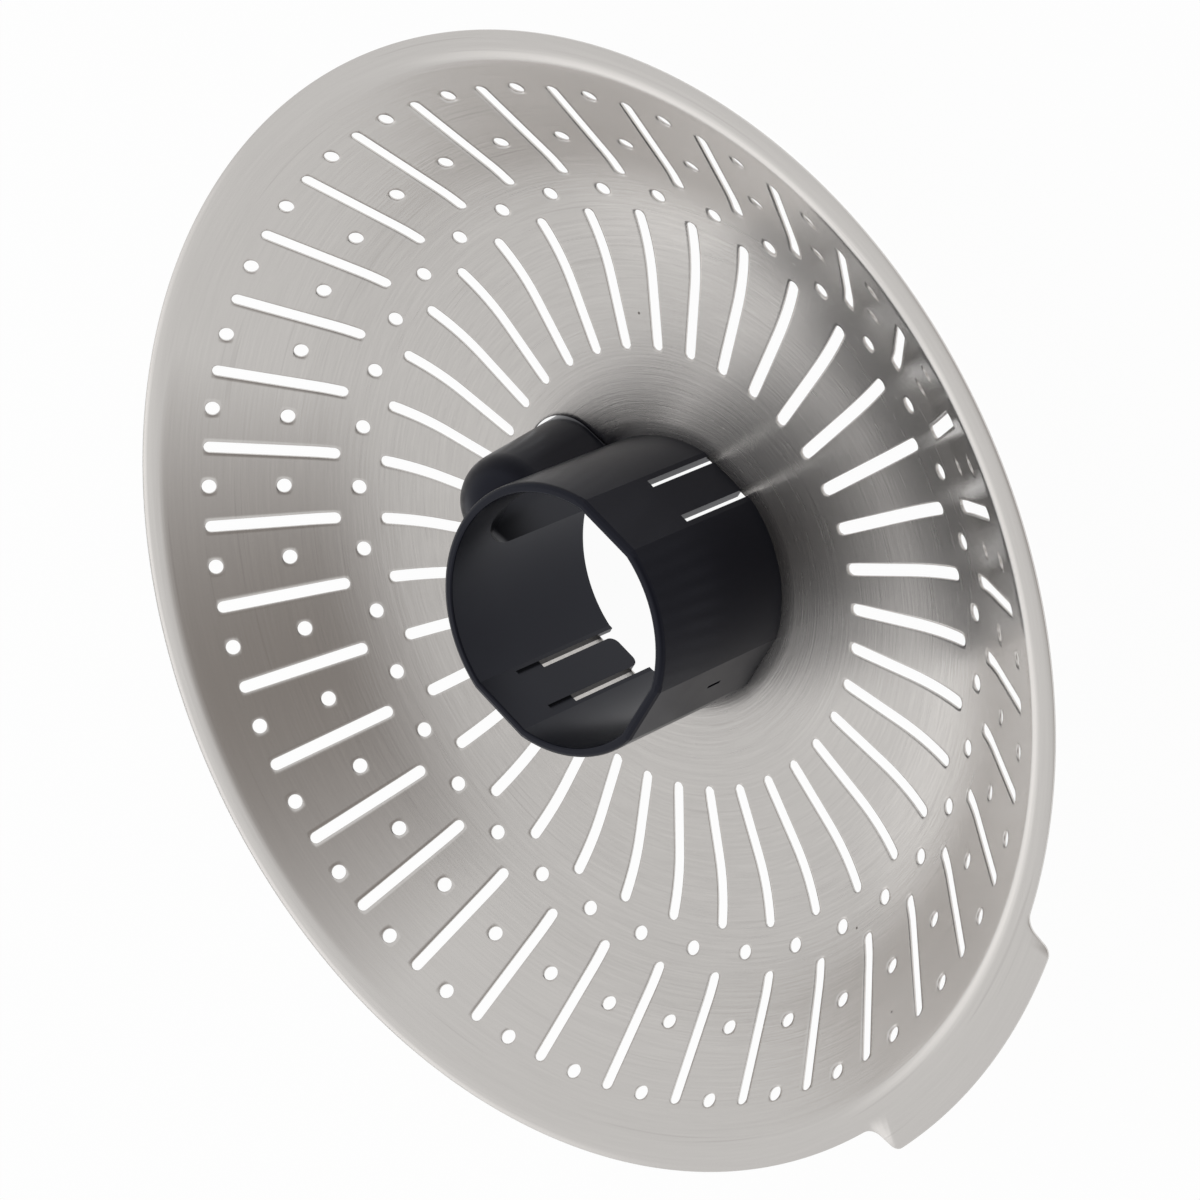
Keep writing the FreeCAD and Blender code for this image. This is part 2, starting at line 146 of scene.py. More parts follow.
@dataclass
class DishSection:
    """Middle line of the sheet: a nearly flat floor, a bowl bend, a straight wall and a flange.

    All lengths are in millimetres, here and in the pieces below.
    """

    sheet: float = 0.3
    rim_radius: float = 64.85
    flange_height: float = 21.9
    flange_bend: float = 2.3
    mouth_radius: float = 62.25
    wall: float = math.radians(44.5)
    floor: float = math.radians(2.8)
    floor_height: float = 1.8
    floor_radius: float = 16.1
    bowl_bend: float = 23.8

    def __post_init__(self) -> None:
        """Work out where each stretch of the section starts, as a radius and as a way along it."""
        floor_rise = math.tan(self.floor)
        wall_rise = math.tan(self.wall)
        foot = ((wall_rise * self.mouth_radius - self.flange_height + self.floor_height
                 - floor_rise * self.floor_radius) / (wall_rise - floor_rise))
        self.foot_height = self.floor_height + floor_rise * (foot - self.floor_radius)
        setback = self.bowl_bend * math.tan((self.wall - self.floor) / 2)
        self.bend_start = foot - setback * math.cos(self.floor)
        self.bend_end = foot + setback * math.cos(self.wall)
        self.bend_centre = self.bend_start - self.bowl_bend * math.sin(self.floor)
        self.start_height = self.foot_height - setback * math.sin(self.floor)
        flange_setback = self.flange_bend * math.tan(self.wall / 2)
        self.wall_end = self.mouth_radius - flange_setback * math.cos(self.wall)
        self.flat_start = self.mouth_radius + flange_setback
        self.way_bend = self.bend_start / math.cos(self.floor)
        self.way_wall = self.way_bend + self.bowl_bend * (self.wall - self.floor)
        self.way_lip = self.way_wall + (self.wall_end - self.bend_end) / math.cos(self.wall)
        self.way_flat = self.way_lip + self.flange_bend * self.wall

    def way(self, radius: float) -> float:
        """Way along the section at which it passes a radius.

        Args:
            radius: Distance from the axis.

        Returns:
            Length of the section from the axis out to there.
        """
        if radius <= self.bend_start:
            return radius / math.cos(self.floor)
        if radius <= self.bend_end:
            return self.way_bend + self.bowl_bend * (
                math.asin((radius - self.bend_centre) / self.bowl_bend) - self.floor)
        if radius <= self.wall_end:
            return self.way_wall + (radius - self.bend_end) / math.cos(self.wall)
        return self.way_flat + radius - self.flat_start

    def at(self, way: np.ndarray) -> tuple[np.ndarray, np.ndarray, np.ndarray]:
        """Radius, height and slope of the middle line.

        The floor and the wall are straight lines, the two bends are arcs tangent to them, and the
        flange is level.

        Args:
            way: Ways along the section.

        Returns:
            Radii, heights and slopes there.
        """
        bend = np.clip((way - self.way_bend) / self.bowl_bend, 0.0, self.wall - self.floor) + self.floor
        lip = np.clip((way - self.way_lip) / self.flange_bend, 0.0, self.wall)
        slope = bend - lip
        floor_way = np.minimum(way, self.way_bend)
        wall_way = np.clip(way - self.way_wall, 0.0, self.way_lip - self.way_wall)
        flat_way = np.maximum(way - self.way_flat, 0.0)
        radius = (floor_way * math.cos(self.floor)
                  + self.bowl_bend * (np.sin(bend) - math.sin(self.floor))
                  + wall_way * math.cos(self.wall)
                  + self.flange_bend * (math.sin(self.wall) - np.sin(self.wall - lip)) + flat_way)
        height = (self.start_height + (floor_way - self.way_bend) * math.sin(self.floor)
                  + self.bowl_bend * (math.cos(self.floor) - np.cos(bend))
                  + wall_way * math.sin(self.wall)
                  + self.flange_bend * (np.cos(self.wall - lip) - math.cos(self.wall)))
        return radius, height, slope


@dataclass
class StrainerDish:
    """The pressed, punched and brushed steel dish with its lift tab."""

    section: DishSection = field(default_factory=DishSection)
    pitches: int = 36
    turn: float = math.radians(0.3)
    hole_radius: float = 0.875
    hole_centres: tuple[float, ...] = (44.63, 51.6, 57.99)
    slot_half_width: float = 0.7
    slots: tuple[tuple[float, float], ...] = ((26.45, 41.65), (47.25, 58.0))
    edge_round: float = 0.05
    cell_margin: float = 0.85
    steps_across: int = 6
    step: float = 1.2
    bend_step: float = 0.45
    least_step: float = 0.02
    ring_shares: tuple[float, float] = (0.38, 0.75)
    centre_steps: int = 4
    ring_radius: float = 24.4
    join_radius: float = 64.0
    outline_ratio: int = 4
    tab_radius: float = 68.35
    tab_half_width: float = 17.2
    tab_taper: float = math.radians(6.0)
    tab_corner: float = 1.3
    tab_root: float = 2.0
    tab_arc_points: int = 25
    tab_end_points: int = 40
    tab_margin: float = math.radians(1.0)
    key_radius: float = 15.4
    key_flat: float = 14.9
    lobe_half_width: float = 5.82
    lobe_centre: float = 17.78
    patches: Patchwork = field(default_factory=Patchwork)

    def place(self, way: np.ndarray, angle: np.ndarray, side: float) -> np.ndarray:
        """Point of the sheet: the section's point, moved off the middle line and turned about the axis.

        Args:
            way: Ways along the section.
            angle: Angles about the axis.
            side: Distance above the middle of the sheet, square to it.

        Returns:
            Array of places, in the shape of way and angle with one more axis.
        """
        way, angle = np.broadcast_arrays(way, angle)
        radius, height, slope = self.section.at(way)
        reach = radius - side * np.sin(slope)
        return np.stack([reach * np.cos(angle), reach * np.sin(angle), height + side * np.cos(slope)], -1)

    def brush(self, way: np.ndarray, angle: np.ndarray) -> np.ndarray:
        """Brush coordinates: the angle about the axis and the way along the section, both as lengths.

        Args:
            way: Ways along the section.
            angle: Angles about the axis.

        Returns:
            Array of pairs, in the shape of way and angle with one more axis.
        """
        way, angle = np.broadcast_arrays(way, angle)
        return np.stack([angle * self.ring_radius, way], -1)

    def cells(self) -> tuple[list[tuple[float, float]], list[tuple[float, float]]]:
        """Spines of the punched features: the two ends of each one's middle line.

        Returns:
            The spines of the holes and those of the slots, as ways along the section.
        """
        way = self.section.way
        holes = [(way(radius), way(radius)) for radius in self.hole_centres]
        slots = [(way(start), way(end)) for start, end in self.slots]
        return holes, slots

    def reach(self, spine: tuple[float, float]) -> tuple[float, float]:
        """Stretch of the section that a punched cell covers.

        Args:
            spine: Ways of the spine's two ends.

        Returns:
            Ways at which the cell starts and ends.
        """
        half = self.hole_radius if spine[0] == spine[1] else self.slot_half_width
        return spine[0] - half - self.cell_margin, spine[1] + half + self.cell_margin

    def stations(self) -> np.ndarray:
        """Ways along the section at which the mesh has a row, each cell's ends among them.

        A way closer than the least step to the one before it is left out.

        Returns:
            Sorted ways from the inner ring to the flange.
        """
        section = self.section
        holes, slots = self.cells()
        marks = {section.way(self.ring_radius), section.way_lip, section.way_flat,
                 section.way(self.join_radius)}
        for spine in holes + slots:
            marks.update(self.reach(spine))
        for spine in holes:
            low, high = self.reach(spine)
            marks.add((low + high) / 2)
        edges = np.sort(np.array(list(marks)))
        edges = edges[np.concatenate([[True], np.diff(edges) > self.least_step])]
        rows = [edges[:1]]
        for low, high in zip(edges[:-1], edges[1:]):
            bending = low >= section.way_lip - TINY and high <= section.way_flat + TINY
            steps = max(1, math.ceil((high - low) / (self.bend_step if bending else self.step) - TINY))
            rows.append(np.linspace(low, high, steps + 1)[1:])
        return np.concatenate(rows)

    def plain(self, ways: np.ndarray, centre: float) -> None:
        """Both faces of an unpunched stretch of one column.

        Args:
            ways: Ways of the rows.
            centre: Angle of the column's middle.
        """
        half = math.pi / (2 * self.pitches)
        angle = centre + np.linspace(-half, half, self.steps_across + 1)[None, :]
        brush = self.brush(ways[:, None], angle)
        for side in Side:
            points = self.place(ways[:, None], angle, side.value * self.section.sheet / 2)
            self.patches.add_grid(points, brush)

    def punched(self, ways: np.ndarray, centre: float, spine: tuple[float, float]) -> None:
        """One cell with a hole or a slot: rings that run from its border to the outline and through.

        The outline is all points at the feature's radius from its spine. Each point of the border is
        paired with the outline point in the direction from the nearest point of the spine, and for a
        round hole with one of as many evenly spaced points. The ring shares say how far along the way
        from the border to the outline the rings between them lie.

        Args:
            ways: Ways of the rows of the cell.
            centre: Angle of the column's middle.
            spine: Ways of the spine's two ends, the same for a hole.
        """
        half = math.pi / (2 * self.pitches)
        across = np.linspace(-half, half, self.steps_across + 1)
        turn_low = np.stack([across, np.full_like(across, ways[0])], -1)
        rise = np.stack([np.full_like(ways, half), ways], -1)
        border = np.concatenate([turn_low[:-1], rise[:-1], (turn_low * [-1, 0] + [0, ways[-1]])[:-1],
                                 (rise[::-1] * [-1, 1])])
        radius_at = self.section.at(border[:, 1])[0]
        flat = np.stack([border[:, 0] * radius_at, border[:, 1]], -1)
        nearest = np.stack([np.zeros(len(flat)), np.clip(flat[:, 1], spine[0], spine[1])], -1)
        away = flat - nearest
        away /= np.linalg.norm(away, axis=1, keepdims=True)
        radius = self.slot_half_width
        if spine[0] == spine[1]:
            radius = self.hole_radius
            start = math.atan2(away[0, 1], away[0, 0])
            even = start + np.linspace(0.0, 2 * math.pi, len(flat))
            away = np.stack([np.cos(even), np.sin(even)], -1)
        lip = nearest + away * (radius + self.edge_round)
        wall = nearest + away * radius
        thick = self.section.sheet / 2
        inner = thick - self.edge_round
        face = [flat, *(flat * (1 - share) + lip * share for share in self.ring_shares), lip]
        rings = [*((ring, thick) for ring in face), (wall, inner), (wall, -inner),
                 *((ring, -thick) for ring in reversed(face))]
        points = []
        brush = []
        for ring, side in rings:
            angle = centre + ring[:, 0] / self.section.at(ring[:, 1])[0]
            points.append(self.place(ring[:, 1], angle, side))
            brush.append(self.brush(ring[:, 1], angle))
        self.patches.add_grid(np.stack(points), np.stack(brush))

    def columns(self) -> None:
        """All columns in turn: one with holes and one with slots to each pitch."""
        holes, slots = self.cells()
        rows = self.stations()
        for index in range(2 * self.pitches):
            centre = self.turn + index * math.pi / self.pitches
            low = rows[0]
            for spine in (holes if index % 2 == 0 else slots):
                start, end = self.reach(spine)
                self.plain(rows[(rows > low - TINY) & (rows < start + TINY)], centre)
                self.punched(rows[(rows > start - TINY) & (rows < end + TINY)], centre, spine)
                low = end
            self.plain(rows[rows > low - TINY], centre)

    def angles(self, ratio: int) -> np.ndarray:
        """Angles of the columns' lines all round, the first one repeated.

        Args:
            ratio: Number of parts into which each step is divided.

        Returns:
            The angles.
        """
        start = self.turn - math.pi / (2 * self.pitches)
        return start + np.linspace(0.0, 2 * math.pi, 2 * self.pitches * self.steps_across * ratio + 1)

    def key_outline(self, angle: np.ndarray) -> np.ndarray:
        """Radius of the keyed centre hole: the larger of the flatted circle and the lobe's way through.

        A flat is a straight line at its distance from the axis. The way through is a band as wide as
        the lobe that ends in a half circle.

        Args:
            angle: Angles about the axis.

        Returns:
            Radii of the outline.
        """
        radius = np.full_like(angle, self.key_radius)
        for facing in (0.0, math.pi / 2, -math.pi / 2):
            lean = np.cos(angle - facing)
            radius = np.where(lean > self.key_flat / self.key_radius,
                              np.minimum(radius, self.key_flat / np.maximum(lean, TINY)), radius)
        back = -np.cos(angle)
        across = np.abs(np.sin(angle))
        inside = self.lobe_half_width ** 2 - (self.lobe_centre * across) ** 2
        nose = self.lobe_centre * back + np.sqrt(np.maximum(inside, 0.0))
        nose = np.where((inside >= 0) & (nose * back >= self.lobe_centre), nose, 0.0)
        band = self.lobe_half_width / np.maximum(across, TINY)
        band = np.where((back > 0) & (band * back <= self.lobe_centre), band, 0.0)
        return np.maximum(radius, np.maximum(nose, band))

    def centre(self) -> None:
        """Floor between the inner ring and the keyed hole, with the hole's wall."""
        angle = self.angles(1)
        thick = self.section.sheet / 2
        ring = np.full_like(angle, self.ring_radius)
        edge = self.key_outline(angle)
        lip = edge + self.edge_round
        count = self.centre_steps + 1
        steps = np.linspace(0.0, 1.0, count)[:, None]
        face = ring * (1 - steps) + lip * steps
        rows = np.concatenate([face, edge[None], edge[None], face[::-1]])
        sides = np.concatenate([np.full(count, thick), [thick - self.edge_round, self.edge_round - thick],
                                np.full(count, -thick)])
        ways = rows / math.cos(self.section.floor)
        points = np.stack([self.place(way, angle, side) for way, side in zip(ways, sides)])
        self.patches.add_grid(points, self.brush(ways, angle[None, :]))

    def tab_side(self) -> np.ndarray:
        """Half of the tab's outline, from the rim through its root, side and corner to its middle.

        The side is a straight line that leans in by the taper. An arc outside the rim joins it to the
        rim, and an arc inside the end joins it to the end, which is a circle about the axis.

        Returns:
            Densely spaced points (x, y) with y from large to 0.
        """
        rim = self.section.rim_radius
        root = self.section.mouth_radius + self.section.flange_bend
        wide = self.tab_half_width + math.tan(self.tab_taper) * (self.tab_radius - root)
        foot = np.array([math.sqrt(root ** 2 - wide ** 2), wide])
        end = np.array([math.sqrt(self.tab_radius ** 2 - self.tab_half_width ** 2), self.tab_half_width])
        along = (end - foot) / np.linalg.norm(end - foot)
        outward = np.array([-along[1], along[0]])

        def arc(offset: float, distance: float, carrier: float) -> np.ndarray:
            """Arc tangent to the side and to a circle about the axis.

            Args:
                offset: Distance of the arc's centre outside the side, the arc's radius by size.
                distance: Distance of the arc's centre from the axis.
                carrier: Radius of the circle.

            Returns:
                Points (x, y) from the side to the circle.
            """
            base = foot + outward * offset
            middle = -base @ along
            centre = base + along * (middle + math.sqrt(distance ** 2 - base @ base + middle ** 2))
            start = math.atan2(*(-outward * offset)[::-1])
            touch = centre * (carrier / distance) - centre
            stop = math.atan2(touch[1], touch[0])
            stop = start + (stop - start + math.pi) % (2 * math.pi) - math.pi
            sweep = np.linspace(start, stop, self.tab_arc_points)
            return centre + abs(offset) * np.stack([np.cos(sweep), np.sin(sweep)], -1)

        root_arc = arc(self.tab_root, rim + self.tab_root, rim)[::-1]
        corner_arc = arc(-self.tab_corner, self.tab_radius - self.tab_corner, self.tab_radius)
        last = math.atan2(corner_arc[-1, 1], corner_arc[-1, 0])
        sweep = np.linspace(last, 0.0, self.tab_end_points)[1:]
        end_arc = self.tab_radius * np.stack([np.cos(sweep), np.sin(sweep)], -1)
        return np.concatenate([root_arc, corner_arc, end_arc])

    def rim_outline(self) -> np.ndarray:
        """Outline of the flange and its tab, one point to each fine step of the columns' angles.

        Away from the tab a point lies on the rim at its angle. At the tab and for a margin to either
        side of it the points are spaced evenly along the outline.

        Returns:
            Array of points (x, y), the first one repeated at the end.
        """
        angle = self.angles(self.outline_ratio)
        rim = self.section.rim_radius * np.stack([np.cos(angle), np.sin(angle)], -1)
        half = self.tab_side()
        path = np.concatenate([half * [1, -1], half[-2::-1]])
        wrapped = (angle + math.pi) % (2 * math.pi) - math.pi
        reach = math.atan2(half[0, 1], half[0, 0]) + self.tab_margin
        near = np.flatnonzero(np.abs(wrapped[:-1]) < reach)
        near = near[np.argsort(wrapped[near])]
        path = np.concatenate([rim[near[:1]], path, rim[near[-1:]]])
        length = np.concatenate([[0.0], np.cumsum(np.linalg.norm(np.diff(path, axis=0), axis=1))])
        spaced = np.linspace(0.0, length[-1], len(near))
        rim[near] = np.stack([np.interp(spaced, length, path[:, axis]) for axis in (0, 1)], -1)
        rim[-1] = rim[0]
        return rim

    def flange(self) -> None:
        """Flat flange with the tab: a strip on each face out to the outline, and the rounded rim."""
        thick = self.section.sheet / 2
        level = self.section.flange_height
        outline = self.rim_outline()
        along = np.roll(outline[:-1], -1, axis=0) - np.roll(outline[:-1], 1, axis=0)
        along = np.concatenate([along, along[:1]])
        along /= np.linalg.norm(along, axis=1, keepdims=True)
        outward = np.stack([along[:, 1], -along[:, 0]], -1)
        lip = outline - outward * self.edge_round
        inner_angle = self.angles(1)
        outer_angle = self.angles(self.outline_ratio)
        way = self.section.way(self.join_radius)
        inner_brush = self.brush(np.full_like(inner_angle, way), inner_angle)
        outer_way = way + np.linalg.norm(lip, axis=1) - self.join_radius
        outer_brush = self.brush(outer_way, outer_angle)

        def raised(points: np.ndarray, height: float) -> np.ndarray:
            """Points given a height.

            Args:
                points: Array of n points (x, y).
                height: The height of all of them.

            Returns:
                Array of n places.
            """
            return np.concatenate([points, np.full((len(points), 1), height)], axis=1)

        for side in Side:
            inner = self.place(np.full_like(inner_angle, way), inner_angle, side.value * thick)
            self.patches.add_strip(inner, raised(lip, level + side.value * thick), inner_brush, outer_brush)
        rows = [raised(lip, level + thick), raised(outline, level + thick - self.edge_round),
                raised(outline, level - thick + self.edge_round), raised(lip, level - thick)]
        self.patches.add_grid(np.stack(rows), np.stack([outer_brush] * len(rows)))

    def build(self, finish: "BrushedSteel") -> bpy.types.Object:
        """Build the dish in place of its CAD node.

        Args:
            finish: The steel's finish.

        Returns:
            The dish.
        """
        self.columns()
        self.centre()
        self.flange()
        dish = self.patches.build("strainer_dish_sheet")
        dish.data.materials.append(finish.make())
        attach(dish, "root")
        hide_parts("strainer_dish")
        return dish


@dataclass
class Collar:
    """The moulded plastic collar: round walls, three flats, a rounded free end and a leaning lobe."""

    sleeve_radius: float = 15.75
    spigot_radius: float = 15.25
    bore_radius: float = 14.6
    flat_depth: float = 0.5
    top: float = 23.0
    outer_round: float = 0.55
    inner_round: float = 0.25
    lobe_radius: float = 5.7
    pocket_radius: float = 4.55
    lobe_foot: float = 17.8
    lobe_top: float = 16.1
    lobe_dome: float = 13.8
    touch: float = 0.03
    wall_turn: float = math.radians(8.0)
    arc_turn: float = math.radians(26.0)

    def upright(self, corners: np.ndarray, radius: float, sign: float) -> tuple[np.ndarray, np.ndarray]:
        """Round wall about the axis: its normal points straight away from the axis.

        Args:
            corners: Places of the triangles' corners.
            radius: Radius of the wall.
            sign: 1 for an outer wall, -1 for a bore.

        Returns:
            Normals at the corners, and how far each corner lies off the wall.
        """
        away = corners * [1.0, 1.0, 0.0]
        length = np.linalg.norm(away, axis=-1)
        return sign * away / np.maximum(length, TINY)[..., None], np.abs(length - radius)

    def rounded(self, corners: np.ndarray, centre: float, size: float, facing: float | None
                ) -> tuple[np.ndarray, np.ndarray]:
        """Rounded edge of the free end: its normal points away from the arc's centre line.

        The centre line is a circle about the axis, or over a flat a straight line square to the way
        that the flat faces.

        Args:
            corners: Places of the triangles' corners.
            centre: Distance of the centre line from the axis.
            size: Radius of the arc.
            facing: Angle that the flat faces, or None on the round stretches.

        Returns:
            Normals at the corners, and how far each corner lies off the edge.
        """
        if facing is None:
            away = corners * [1.0, 1.0, 0.0]
            length = np.linalg.norm(away, axis=-1)
            out = away / np.maximum(length, TINY)[..., None]
        else:
            out = np.broadcast_to([math.cos(facing), math.sin(facing), 0.0], corners.shape)
            length = (corners * out).sum(-1)
        rise = corners[..., 2] - (self.top - size)
        normal = out * (length - centre)[..., None] + rise[..., None] * np.array([0.0, 0.0, 1.0])
        reach = np.linalg.norm(normal, axis=-1)
        return normal / np.maximum(reach, TINY)[..., None], np.abs(reach - size)

    def bulge(self, corners: np.ndarray, radius: float, sign: float) -> tuple[np.ndarray, np.ndarray]:
        """Lobe or its pocket: all points at one distance from an upright half plane that leans in.

        The half plane starts at the lobe's own axis, runs in towards the sleeve and ends at the height
        of the dome's centre. The normal points away from its nearest point.

        Args:
            corners: Places of the triangles' corners.
            radius: Distance from the half plane.
            sign: 1 for the outside, -1 for the pocket.

        Returns:
            Normals at the corners, and how far each corner lies off the surface.
        """
        lean = math.atan((self.lobe_foot - self.lobe_top) / self.lobe_dome)
        across = corners[..., 0] + self.lobe_foot
        along = across * math.cos(lean) - corners[..., 2] * math.sin(lean)
        rise = across * math.sin(lean) + corners[..., 2] * math.cos(lean)
        along = np.minimum(along, 0.0)
        rise = np.maximum(rise - self.lobe_dome, 0.0)
        normal = np.stack([along * math.cos(lean) + rise * math.sin(lean), corners[..., 1],
                           rise * math.cos(lean) - along * math.sin(lean)], -1)
        reach = np.linalg.norm(normal, axis=-1)
        return sign * normal / np.maximum(reach, TINY)[..., None], np.abs(reach - radius)

    def normals(self, corners: np.ndarray, flat: np.ndarray) -> np.ndarray:
        """Normals of the true curved surfaces at each triangle's corners, and flat ones elsewhere.

        A triangle takes the normals of the first surface that all its corners touch and that it turns
        away from by less than that surface's allowance.

        Args:
            corners: Places of the triangles' corners in millimetres.
            flat: Normals of the triangles.

        Returns:
            One normal to each corner.
        """
        outer = self.sleeve_radius - self.outer_round
        inner = self.bore_radius + self.inner_round
        walls = ((self.sleeve_radius, 1.0), (self.spigot_radius, 1.0), (self.bore_radius, -1.0))
        bulges = ((self.lobe_radius, 1.0), (self.pocket_radius, -1.0))
        edges = ((outer, self.outer_round), (inner, self.inner_round))
        surfaces = [(self.upright(corners, radius, sign), self.wall_turn) for radius, sign in walls]
        surfaces += [(self.rounded(corners, centre, size, None), self.arc_turn) for centre, size in edges]
        for facing in (0.0, math.pi / 2, -math.pi / 2):
            surfaces += [(self.rounded(corners, centre - self.flat_depth, size, facing), self.arc_turn)
                         for centre, size in edges]
        surfaces += [(self.bulge(corners, radius, sign), self.wall_turn) for radius, sign in bulges]
        normals = np.repeat(flat[:, None], 3, axis=1)
        free = np.ones(len(flat), dtype=bool)
        for (ways, off), turn in surfaces:
            middle = ways.mean(axis=1)
            middle /= np.maximum(np.linalg.norm(middle, axis=1, keepdims=True), TINY)
            fits = free & (off.max(axis=1) < self.touch) & ((middle * flat).sum(-1) > math.cos(turn))
            normals[fits] = ways[fits]
            free &= ~fits
        return normals

    def build(self, finish: "SatinPlastic") -> bpy.types.Object:
        """Build the collar in place of its CAD node, with the shading of its true curved surfaces.

        Args:
            finish: The plastic's finish.

        Returns:
            The collar.
        """
        work = bmesh.new()
        work.from_mesh(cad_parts["collar"].data)
        bmesh.ops.remove_doubles(work, verts=work.verts, dist=MERGE_DISTANCE)
        mesh = bpy.data.meshes.new("collar_moulding")
        work.to_mesh(mesh)
        work.free()
        mesh.materials.clear()
        mesh.materials.append(finish.make())
        mesh.shade_smooth()
        places = np.empty(3 * len(mesh.vertices), dtype=np.float32)
        mesh.vertices.foreach_get("co", places)
        index = np.empty(len(mesh.loops), dtype=np.int32)
        mesh.loops.foreach_get("vertex_index", index)
        flat = np.empty(3 * len(mesh.polygons), dtype=np.float32)
        mesh.polygons.foreach_get("normal", flat)
        corners = places.reshape(-1, 3)[index].reshape(-1, 3, 3) / MM
        normals = self.normals(corners, flat.reshape(-1, 3))
        mesh.normals_split_custom_set(normals.reshape(-1, 3).tolist())
        collar = bpy.data.objects.new("collar_moulding", mesh)
        bpy.context.scene.collection.objects.link(collar)
        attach(collar, "root")
        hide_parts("collar")
        return collar


class Blend(Enum):
    """What a mix node mixes, by Blender's name."""

    VALUE = "FLOAT"
    COLOUR = "RGBA"


class NodeTree:
    """Short ways to add and join the nodes of one material or world."""

    def __init__(self, owner: bpy.types.Material | bpy.types.World) -> None:
        """Keep the owner's tree and empty it.

        Args:
            owner: The material or world.
        """
        owner.use_nodes = True
        self.tree = owner.node_tree
        self.tree.nodes.clear()

    def add(self, kind: str, feeds: dict[str | int, Feed] | None = None, **values: object
            ) -> bpy.types.Node:
        """Add a node, set its properties and feed its inputs.

        Args:
            kind: Blender's name of the node type.
            feeds: For each input, by name or index, the output to link to it or its constant.
            values: Properties by name.

        Returns:
            The node.
        """
        node = self.tree.nodes.new(kind)
        for name, value in values.items():
            setattr(node, name, value)
        for key, feed in (feeds or {}).items():
            if isinstance(feed, bpy.types.NodeSocket):
                self.tree.links.new(feed, node.inputs[key])
            else:
                node.inputs[key].default_value = feed
        return node

    def vector(self, operation: str, first: bpy.types.NodeSocket, second: Feed | None = None
               ) -> bpy.types.NodeSocket:
        """Vector arithmetic with a vector as its result.

        Args:
            operation: Blender's name of the operation.
            first: The first vector.
            second: The second vector, or a number as the scale.

        Returns:
            The resulting vector.
        """
        feeds = {0: first}
        if second is not None:
            feeds["Scale" if isinstance(second, float) else 1] = second
        return self.add("ShaderNodeVectorMath", feeds, operation=operation).outputs["Vector"]

    def measure(self, operation: str, first: bpy.types.NodeSocket, second: Feed) -> bpy.types.NodeSocket:
        """Vector arithmetic with a number as its result, such as a distance.

        Args:
            operation: Blender's name of the operation.
            first: The first vector.
            second: The second vector.

        Returns:
            The resulting number.
        """
        feeds = {0: first, 1: second}
        return self.add("ShaderNodeVectorMath", feeds, operation=operation).outputs["Value"]

    def scalar(self, operation: str, first: bpy.types.NodeSocket, second: Feed) -> bpy.types.NodeSocket:
        """Arithmetic on two numbers.

        Args:
            operation: Blender's name of the operation.
            first: The first number.
            second: The second number.

        Returns:
            The result.
        """
        return self.add("ShaderNodeMath", {0: first, 1: second}, operation=operation).outputs[0]

    def noise(self, vector: bpy.types.NodeSocket, scale: float, detail: float, rough: float
              ) -> bpy.types.NodeSocket:
        """Value of a noise texture.

        Args:
            vector: Place at which the noise is read.
            scale: Number of waves to each unit of the place.
            detail: Number of finer layers.
            rough: Strength of the finer layers.

        Returns:
            The noise, most of it between 0.3 and 0.7.
        """
        feeds = {"Vector": vector, "Scale": scale, "Detail": detail, "Roughness": rough}
        return self.add("ShaderNodeTexNoise", feeds).outputs["Fac"]

    def span(self, value: bpy.types.NodeSocket, start: tuple[float, float], end: tuple[float, float]
             ) -> bpy.types.NodeSocket:
        """Value moved from one range to another, and kept inside it.

        Args:
            value: The value.
            start: The range that it comes from.
            end: The range that it goes to.

        Returns:
            The moved value.
        """
        feeds = {"Value": value, "From Min": start[0], "From Max": start[1],
                 "To Min": end[0], "To Max": end[1]}
        return self.add("ShaderNodeMapRange", feeds, clamp=True).outputs["Result"]

    def blend(self, kind: Blend, first: Feed, second: Feed, share: bpy.types.NodeSocket
              ) -> bpy.types.NodeSocket:
        """Two values or colours mixed.

        Args:
            kind: What is mixed.
            first: The first value or colour.
            second: The second value or colour.
            share: Share of the second one.

        Returns:
            The mixture.
        """
        feeds = {"Factor": share, "A": first, "B": second}
        return self.add("ShaderNodeMix", feeds, data_type=kind.value).outputs["Result"]

    def bump(self, height: bpy.types.NodeSocket, strength: float, depth: float) -> bpy.types.NodeSocket:
        """Normal of a surface with fine relief.

        Args:
            height: Height of the relief, from 0 to 1.
            strength: Share of the relief that shows.
            depth: Depth of the relief in millimetres.

        Returns:
            The normal.
        """
        feeds = {"Height": height, "Strength": strength, "Distance": depth * MM}
        return self.add("ShaderNodeBump", feeds).outputs[0]

    def show(self, shader: bpy.types.Node, output: str = "ShaderNodeOutputMaterial") -> None:
        """Give a shader to the tree's output.

        Args:
            shader: The shader.
            output: Blender's name of the output's node type.
        """
        self.add(output, {"Surface": shader.outputs[0]})


@dataclass(frozen=True)
class Streaks:
    """Noise drawn out round the axis: fewer turns make longer streaks, more rows thinner ones."""

    turns: float
    rows: float
    detail: float
    rough: float

    def draw(self, nodes: NodeTree, around: bpy.types.NodeSocket, way: bpy.types.NodeSocket
             ) -> bpy.types.NodeSocket:
        """Noise whose place is the way round the axis times the turns plus the way out times the rows.

        Args:
            nodes: The material's nodes.
            around: Unit vector away from the axis.
            way: Way along the section, as an upright vector.

        Returns:
            The noise.
        """
        place = nodes.vector("ADD", nodes.vector("SCALE", around, self.turns),
                             nodes.vector("SCALE", way, self.rows))
        return nodes.noise(place, 1.0, self.detail, self.rough)


